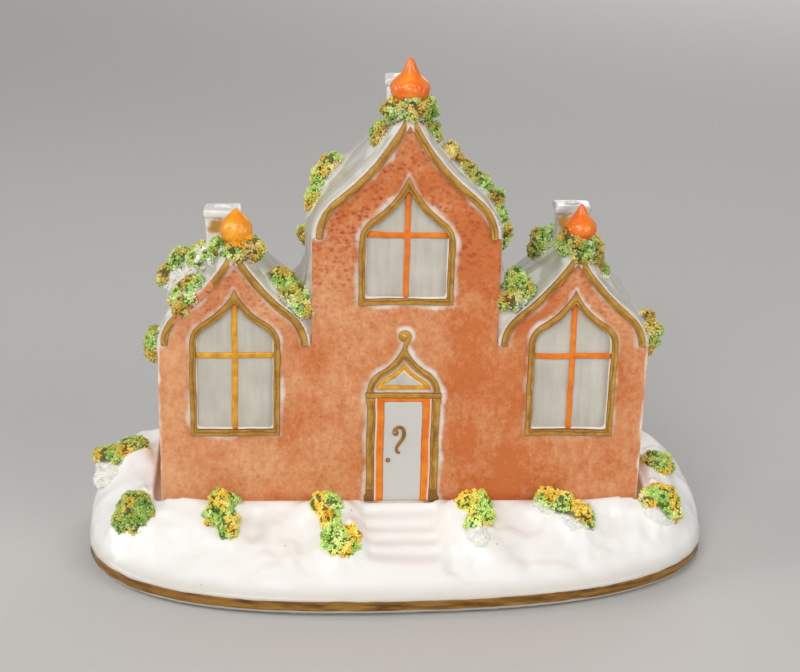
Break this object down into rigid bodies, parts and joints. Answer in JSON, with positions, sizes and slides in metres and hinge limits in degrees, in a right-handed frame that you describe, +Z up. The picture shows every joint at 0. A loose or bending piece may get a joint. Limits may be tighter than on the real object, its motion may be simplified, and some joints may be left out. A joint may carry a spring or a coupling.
{
  "type": "pastille burner",
  "caption": "Gothic cottage pastille burner in glazed china: a hollow gabled house with onion finials and clay moss lifts off a mound base that holds a scented cone.",
  "frame": {"origin": "middle of the base's underside, on the surface it stands on", "axes": "+Z up, -Y out of the front with the door, +X to the right of the door"},
  "size_m": [0.158, 0.0878, 0.13],
  "materials": {
    "white_glaze": "glossy clear lead glaze over white china",
    "salmon_wash": "stippled salmon enamel, soft gloss",
    "grey_wash": "thin grey enamel wash over white china",
    "pane_grey": "brushed pale grey enamel",
    "gilding": "worn burnished gilding on glaze",
    "orange_enamel": "glossy orange enamel",
    "yellow_enamel": "glossy yellow enamel",
    "clay_moss": "green and ochre glaze on shredded clay",
    "charcoal": "matt pressed charcoal and gum"
  },
  "bodies": {
    "base": {"base": "white_glaze", "base_moss_left_rear": "clay_moss", "base_moss_left_corner": "clay_moss", "base_moss_left_window": "clay_moss", "base_moss_left_steps": "clay_moss", "base_moss_right_steps": "clay_moss", "base_moss_right_window": "clay_moss", "base_moss_right_corner": "clay_moss", "base_moss_right_rear": "clay_moss"},
    "house": {"front_wall": "salmon_wash", "back_wall": "white_glaze", "left_wall": "salmon_wash", "right_wall": "salmon_wash", "main_left_cheek": "grey_wash", "main_right_cheek": "grey_wash", "main_roof": "grey_wash", "left_roof": "grey_wash", "right_roof": "grey_wash", "main_chimney": "white_glaze", "left_chimney": "white_glaze", "right_chimney": "white_glaze", "main_finial": "orange_enamel", "left_finial": "yellow_enamel", "right_finial": "orange_enamel", "main_bargeboard": "gilding", "left_bargeboard": "gilding", "right_bargeboard": "gilding", "main_window_frame": "gilding", "left_window_frame": "gilding", "right_window_frame": "gilding", "main_window_pane": "pane_grey", "left_window_pane": "pane_grey", "right_window_pane": "pane_grey", "main_glazing_bars": "orange_enamel", "left_glazing_bars": "yellow_enamel", "right_glazing_bars": "orange_enamel", "door_leaf": "white_glaze", "door_architrave": "orange_enamel", "door_columns": "gilding", "door_cornice": "gilding", "door_hood": "gilding", "door_hood_knob": "gilding", "fanlight_frame": "yellow_enamel", "fanlight_pane": "pane_grey", "door_handle": "gilding", "main_finial_moss": "clay_moss", "main_left_moss": "clay_moss", "main_right_moss": "clay_moss", "main_cheek_moss": "clay_moss", "left_finial_moss": "clay_moss", "left_slope_moss": "clay_moss", "left_valley_moss": "clay_moss", "left_eave_moss": "clay_moss", "right_finial_moss": "clay_moss", "right_ridge_moss": "clay_moss", "right_valley_moss": "clay_moss", "right_eave_moss": "clay_moss"},
    "pastille": {"pastille": "charcoal"}
  },
  "joints": [
    {"name": "house_lift", "type": "slide", "parent": "base", "child": "house", "axis": [0, 0, 1], "range_m": [0, 0.1]},
    {"name": "pastille_lift", "type": "slide", "parent": "base", "child": "pastille", "axis": [0, 0, 1], "range_m": [0, 0.03]}
  ]
}
